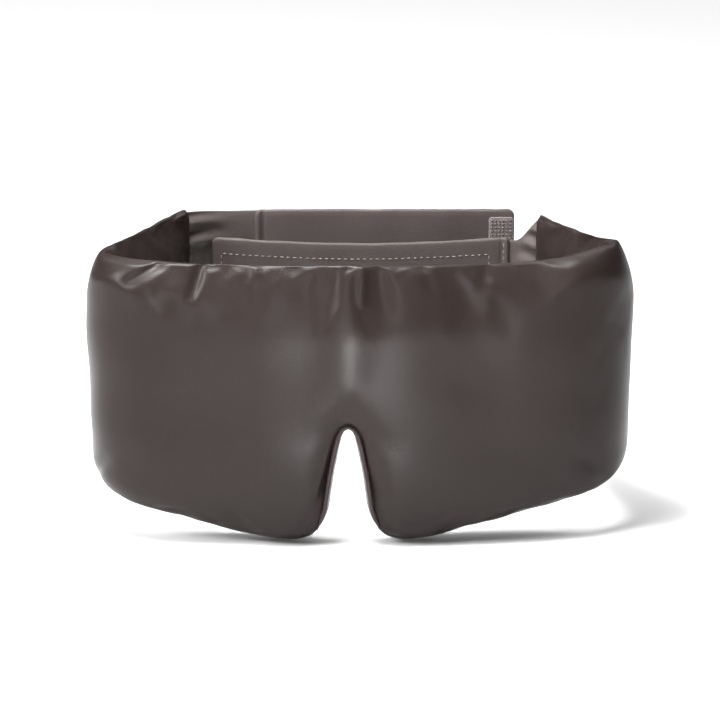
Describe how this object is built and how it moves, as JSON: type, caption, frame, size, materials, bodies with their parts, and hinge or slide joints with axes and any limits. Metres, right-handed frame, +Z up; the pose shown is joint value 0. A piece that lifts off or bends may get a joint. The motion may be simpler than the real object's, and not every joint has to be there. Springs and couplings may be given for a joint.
{
  "type": "sleep mask",
  "caption": "Padded wraparound satin sleep mask with a nose notch, closed behind the head by two overlapping straps with hook-and-loop tape.",
  "frame": {"origin": "on the ground plane through the lowest points of the cheek lobes, under the middle of the worn loop", "axes": "+Z up as worn, +Y from the front of the mask towards the back of the head, +X to the right seen from the front, along the longest extent"},
  "size_m": [0.2098, 0.116, 0.1129],
  "materials": {
    "outer_satin": "satin weave, semi-glossy",
    "lining_satin": "satin weave, semi-glossy",
    "wadding": "matt fibre",
    "interlining": "matt non-woven",
    "tape": "matt pile",
    "thread": "slightly shiny"
  },
  "bodies": {
    "front": {"front_outer_satin": "outer_satin", "front_lining": "lining_satin", "front_wadding": "wadding", "nose_notch_binding": "outer_satin"},
    "left_wing": {"left_wing_outer_satin": "outer_satin", "left_wing_lining": "lining_satin", "left_wing_wadding": "wadding"},
    "right_wing": {"right_wing_outer_satin": "outer_satin", "right_wing_lining": "lining_satin", "right_wing_wadding": "wadding"},
    "left_tail": {"left_tail_outer": "outer_satin", "left_tail_lining": "lining_satin"},
    "left_strap": {"left_strap_sleeve": "outer_satin", "left_strap_interlining": "interlining", "left_strap_seam_stitching": "thread", "hook_tape": "tape", "hook_tape_stitching": "thread"},
    "right_strap": {"right_tail_outer": "outer_satin", "right_tail_lining": "lining_satin", "right_strap_sleeve": "outer_satin", "right_strap_interlining": "interlining", "right_strap_seam_stitching": "thread", "loop_tape": "tape", "loop_tape_stitching": "thread"}
  },
  "joints": [
    {"name": "left_wing_flex", "type": "hinge", "parent": "front", "child": "left_wing", "pos_m": [-0.10139, -0.03803, 0.075], "axis": [0, 0, 1], "range_deg": [0, 18]},
    {"name": "right_wing_flex", "type": "hinge", "parent": "front", "child": "right_wing", "pos_m": [0.10171, -0.03529, 0.075], "axis": [0, 0, 1], "range_deg": [-15.3, 0]},
    {"name": "left_tail_flex", "type": "hinge", "parent": "left_wing", "child": "left_tail", "pos_m": [-0.07026, 0.04861, 0.075], "axis": [0, 0, 1], "range_deg": [-18, 0]},
    {"name": "right_tail_flex", "type": "hinge", "parent": "right_wing", "child": "right_strap", "pos_m": [0.07164, 0.03855, 0.075], "axis": [0, 0, 1], "range_deg": [0, 15.3]},
    {"name": "strap_peel", "type": "hinge", "parent": "left_tail", "child": "left_strap", "pos_m": [-0.04356, 0.05757, 0.083], "axis": [0, 0, 1], "range_deg": [0, 120]}
  ],
  "couplings": [
    {"joint": "right_wing_flex", "follows": "left_wing_flex", "ratio": -0.85},
    {"joint": "left_tail_flex", "follows": "left_wing_flex", "ratio": -1},
    {"joint": "right_tail_flex", "follows": "left_wing_flex", "ratio": 0.85}
  ]
}
